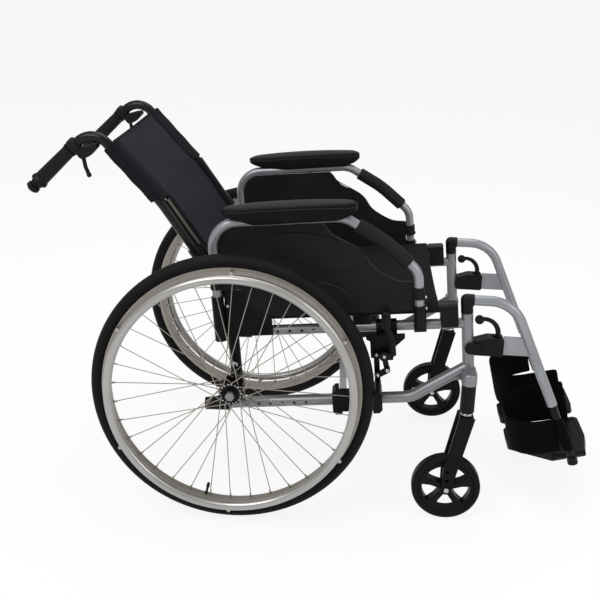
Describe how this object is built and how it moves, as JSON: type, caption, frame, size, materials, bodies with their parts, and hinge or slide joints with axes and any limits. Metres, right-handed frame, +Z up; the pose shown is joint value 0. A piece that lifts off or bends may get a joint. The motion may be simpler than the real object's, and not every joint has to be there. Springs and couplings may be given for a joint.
{
  "type": "reclining wheelchair",
  "caption": "Folding manual wheelchair with a reclining back, large spoked push wheels, front casters, lift-off armrests and swing-away legrests with flip-up footplates.",
  "frame": {"origin": "on the floor, at the bottom centre of the chair's box in the rest pose", "axes": "+X forward, +Y to the sitter's left, +Z up"},
  "size_m": [1.2384, 0.663, 0.8229],
  "materials": {
    "silver_frame": "satin silver paint over aluminium tube",
    "black_metal": "satin black powder coat",
    "black_plastic": "matte black moulding",
    "bright_steel": "bright plated",
    "tyre": "matte black tread",
    "rim": "satin, warm grey",
    "spoke_steel": "drawn wire",
    "handrim": "satin anodised",
    "caster_black": "matte black moulding and solid tyre",
    "dark_tube": "dark anodised",
    "black_webbing": "woven webbing",
    "pad_skin": "soft moulded skin",
    "black_foam": "matte foam",
    "panel_plastic": "fine grain",
    "grip_rubber": "matte rubber",
    "brace_grey": "light grey paint",
    "seat_cloth": "woven nylon",
    "back_cloth": "woven nylon, slate"
  },
  "bodies": {
    "side_right": {"side_frame_right": "silver_frame", "rear_bracket_right": "black_metal", "frame_fittings_right": "black_plastic", "brake_body_right": "black_metal"},
    "side_left": {"side_frame_left": "silver_frame", "rear_bracket_left": "black_metal", "frame_fittings_left": "black_plastic", "brake_body_left": "black_metal"},
    "brace_right": {"brace_right": "brace_grey"},
    "brace_left": {"brace_left": "brace_grey", "seat_sling": "seat_cloth"},
    "wheel_right": {"tyre_right": "tyre", "rim_right": "rim", "spokes_right": "spoke_steel", "hub_right": "black_metal", "handrim_right": "handrim"},
    "caster_swivel_right": {"caster_fork_right": "black_metal"},
    "caster_right": {"caster_wheel_right": "caster_black"},
    "legrest_right": {"legrest_hanger_right": "silver_frame", "legrest_fittings_right": "black_plastic", "foot_tube_right": "dark_tube", "heel_strap_right": "black_webbing"},
    "latch_right": {"latch_lever_right": "black_plastic"},
    "footplate_right": {"footplate_right": "black_plastic"},
    "armrest_right": {"armrest_tube_right": "silver_frame", "arm_pad_right": "pad_skin", "arm_grip_right": "black_foam", "side_panel_right": "panel_plastic"},
    "brake_lever_right": {"brake_lever_right": "black_plastic"},
    "brake_link_right": {"brake_link_right": "bright_steel"},
    "brake_shoe_right": {"brake_shoe_right": "black_metal"},
    "back_right": {"back_cane_right": "black_metal", "push_grip_right": "grip_rubber", "lock_rod_right": "bright_steel", "back_sling": "back_cloth"},
    "release_right": {"release_lever_right": "black_plastic"},
    "wheel_left": {"tyre_left": "tyre", "rim_left": "rim", "spokes_left": "spoke_steel", "hub_left": "black_metal", "handrim_left": "handrim"},
    "caster_swivel_left": {"caster_fork_left": "black_metal"},
    "caster_left": {"caster_wheel_left": "caster_black"},
    "legrest_left": {"legrest_hanger_left": "silver_frame", "legrest_fittings_left": "black_plastic", "foot_tube_left": "dark_tube", "heel_strap_left": "black_webbing"},
    "latch_left": {"latch_lever_left": "black_plastic"},
    "footplate_left": {"footplate_left": "black_plastic"},
    "armrest_left": {"armrest_tube_left": "silver_frame", "arm_pad_left": "pad_skin", "arm_grip_left": "black_foam", "side_panel_left": "panel_plastic"},
    "brake_lever_left": {"brake_lever_left": "black_plastic"},
    "brake_link_left": {"brake_link_left": "bright_steel"},
    "brake_shoe_left": {"brake_shoe_left": "black_metal"},
    "back_left": {"back_cane_left": "black_metal", "push_grip_left": "grip_rubber", "lock_rod_left": "bright_steel"},
    "release_left": {"release_lever_left": "black_plastic"}
  },
  "joints": [
    {"name": "fold", "type": "hinge", "parent": "side_right", "child": "brace_right", "pos_m": [0.10387, -0.205, 0.25667], "axis": [0.9951, 0, 0.0993], "range_deg": [0, 45], "deforming": ["seat_sling", "back_sling", "heel_strap_right", "heel_strap_left"]},
    {"name": "fold_centre", "type": "hinge", "parent": "brace_right", "child": "brace_left", "pos_m": [0.09369, 0, 0.35866], "axis": [0.9951, 0, 0.0993], "range_deg": [-90, 0]},
    {"name": "fold_left", "type": "hinge", "parent": "brace_left", "child": "side_left", "pos_m": [0.10387, 0.205, 0.25667], "axis": [0.9951, 0, 0.0993], "range_deg": [0, 45]},
    {"name": "recline_right", "type": "hinge", "parent": "side_right", "child": "back_right", "pos_m": [-0.16227, -0.205, 0.43612], "axis": [0, 1, 0], "range_deg": [0, 30]},
    {"name": "wheel_spin_right", "type": "hinge", "parent": "side_right", "child": "wheel_right", "pos_m": [-0.172, -0.288, 0.3], "axis": [0, 1, 0], "continuous": true},
    {"name": "caster_swivel_right", "type": "hinge", "parent": "side_right", "child": "caster_swivel_right", "pos_m": [0.32816, -0.238, 0.32032], "axis": [0, 0, 1], "continuous": true},
    {"name": "caster_spin_right", "type": "hinge", "parent": "caster_swivel_right", "child": "caster_right", "pos_m": [0.29617, -0.238, 0.075], "axis": [0, 1, 0], "continuous": true},
    {"name": "legrest_swing_right", "type": "hinge", "parent": "side_right", "child": "legrest_right", "pos_m": [0.31242, -0.205, 0.49808], "axis": [0.0993, 0, -0.9951], "range_deg": [0, 90]},
    {"name": "latch_press_right", "type": "hinge", "parent": "legrest_right", "child": "latch_right", "pos_m": [0.38124, -0.205, 0.40602], "axis": [0, 1, 0], "range_deg": [0, 18], "stiffness_Nm_per_rad": 0.6},
    {"name": "footplate_flip_right", "type": "hinge", "parent": "legrest_right", "child": "footplate_right", "pos_m": [0.57071, -0.18, 0.13918], "axis": [0.9703, 0, 0.2419], "range_deg": [0, 90], "deforming": ["heel_strap_right"]},
    {"name": "armrest_lift_right", "type": "slide", "parent": "side_right", "child": "armrest_right", "axis": [-0.0993, 0, 0.9951], "range_m": [0, 0.09]},
    {"name": "brake_pull_right", "type": "hinge", "parent": "side_right", "child": "brake_lever_right", "pos_m": [0.14461, -0.242, 0.37761], "axis": [0, 1, 0], "range_deg": [-45, 0]},
    {"name": "brake_link_turn_right", "type": "hinge", "parent": "brake_lever_right", "child": "brake_link_right", "pos_m": [0.15247, -0.253, 0.34925], "axis": [0, 1, 0], "range_deg": [0, 31.05]},
    {"name": "brake_shoe_turn_right", "type": "hinge", "parent": "side_right", "child": "brake_shoe_right", "pos_m": [0.12869, -0.233, 0.37602], "axis": [0, 1, 0], "range_deg": [-35.1, 0]},
    {"name": "release_squeeze_right", "type": "hinge", "parent": "back_right", "child": "release_right", "pos_m": [-0.49889, -0.205, 0.77436], "axis": [0, 1, 0], "range_deg": [0, 25], "stiffness_Nm_per_rad": 0.3},
    {"name": "recline_left", "type": "hinge", "parent": "side_left", "child": "back_left", "pos_m": [-0.16227, 0.205, 0.43612], "axis": [0, 1, 0], "range_deg": [0, 30]},
    {"name": "wheel_spin_left", "type": "hinge", "parent": "side_left", "child": "wheel_left", "pos_m": [-0.172, 0.288, 0.3], "axis": [0, 1, 0], "continuous": true},
    {"name": "caster_swivel_left", "type": "hinge", "parent": "side_left", "child": "caster_swivel_left", "pos_m": [0.32816, 0.238, 0.32032], "axis": [0, 0, 1], "continuous": true},
    {"name": "caster_spin_left", "type": "hinge", "parent": "caster_swivel_left", "child": "caster_left", "pos_m": [0.29617, 0.238, 0.075], "axis": [0, 1, 0], "continuous": true},
    {"name": "legrest_swing_left", "type": "hinge", "parent": "side_left", "child": "legrest_left", "pos_m": [0.31242, 0.205, 0.49808], "axis": [-0.0993, 0, 0.9951], "range_deg": [0, 90]},
    {"name": "latch_press_left", "type": "hinge", "parent": "legrest_left", "child": "latch_left", "pos_m": [0.38124, 0.205, 0.40602], "axis": [0, 1, 0], "range_deg": [0, 18], "stiffness_Nm_per_rad": 0.6},
    {"name": "footplate_flip_left", "type": "hinge", "parent": "legrest_left", "child": "footplate_left", "pos_m": [0.57071, 0.18, 0.13918], "axis": [-0.9703, 0, -0.2419], "range_deg": [0, 90], "deforming": ["heel_strap_left"]},
    {"name": "armrest_lift_left", "type": "slide", "parent": "side_left", "child": "armrest_left", "axis": [-0.0993, 0, 0.9951], "range_m": [0, 0.09]},
    {"name": "brake_pull_left", "type": "hinge", "parent": "side_left", "child": "brake_lever_left", "pos_m": [0.14461, 0.242, 0.37761], "axis": [0, 1, 0], "range_deg": [-45, 0]},
    {"name": "brake_link_turn_left", "type": "hinge", "parent": "brake_lever_left", "child": "brake_link_left", "pos_m": [0.15247, 0.253, 0.34925], "axis": [0, 1, 0], "range_deg": [0, 31.05]},
    {"name": "brake_shoe_turn_left", "type": "hinge", "parent": "side_left", "child": "brake_shoe_left", "pos_m": [0.12869, 0.233, 0.37602], "axis": [0, 1, 0], "range_deg": [-35.1, 0]},
    {"name": "release_squeeze_left", "type": "hinge", "parent": "back_left", "child": "release_left", "pos_m": [-0.49889, 0.205, 0.77436], "axis": [0, 1, 0], "range_deg": [0, 25], "stiffness_Nm_per_rad": 0.3}
  ],
  "couplings": [
    {"joint": "fold_centre", "follows": "fold", "ratio": -2},
    {"joint": "fold_left", "follows": "fold", "ratio": 1},
    {"joint": "footplate_flip_right", "follows": "fold", "ratio": 2},
    {"joint": "brake_link_turn_right", "follows": "brake_pull_right", "ratio": -0.69},
    {"joint": "brake_shoe_turn_right", "follows": "brake_pull_right", "ratio": 0.78},
    {"joint": "footplate_flip_left", "follows": "fold", "ratio": 2},
    {"joint": "brake_link_turn_left", "follows": "brake_pull_left", "ratio": -0.69},
    {"joint": "brake_shoe_turn_left", "follows": "brake_pull_left", "ratio": 0.78},
    {"joint": "recline_left", "follows": "recline_right", "ratio": 1}
  ]
}
